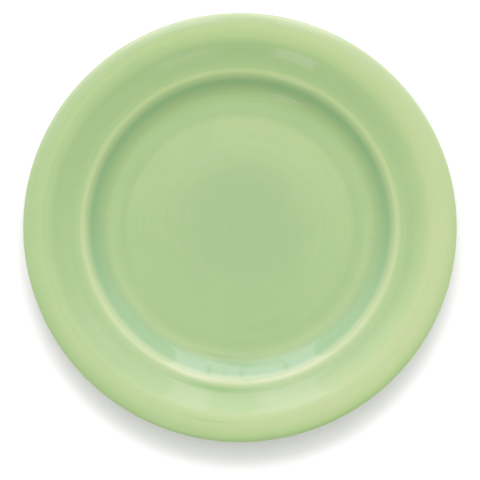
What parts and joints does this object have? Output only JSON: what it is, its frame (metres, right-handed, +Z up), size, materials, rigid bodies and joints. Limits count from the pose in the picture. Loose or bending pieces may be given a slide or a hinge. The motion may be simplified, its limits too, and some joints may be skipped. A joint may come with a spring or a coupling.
{
  "type": "dinner plate",
  "caption": "Round glazed china dinner plate with a flat floor, a steep-walled well, a broad curved rim, a rounded lip and a turned foot ring.",
  "frame": {"origin": "centre of the foot ring's bearing face, on the plane that the plate rests on", "axes": "+Z up out of the well, along the axis the plate is turned about; X and Y lie in the resting plane and are alike"},
  "size_m": [0.28, 0.28, 0.0232],
  "materials": {
    "bare_clay": "unglazed, dry and slightly sandy",
    "front_glaze": "glossy pale celadon green, breaking cream over edges",
    "back_glaze": "glossy pale celadon green"
  },
  "bodies": {
    "root": {"clay_body": "bare_clay", "front_glaze": "front_glaze", "back_glaze": "back_glaze", "recess_glaze": "back_glaze"}
  },
  "joints": []
}
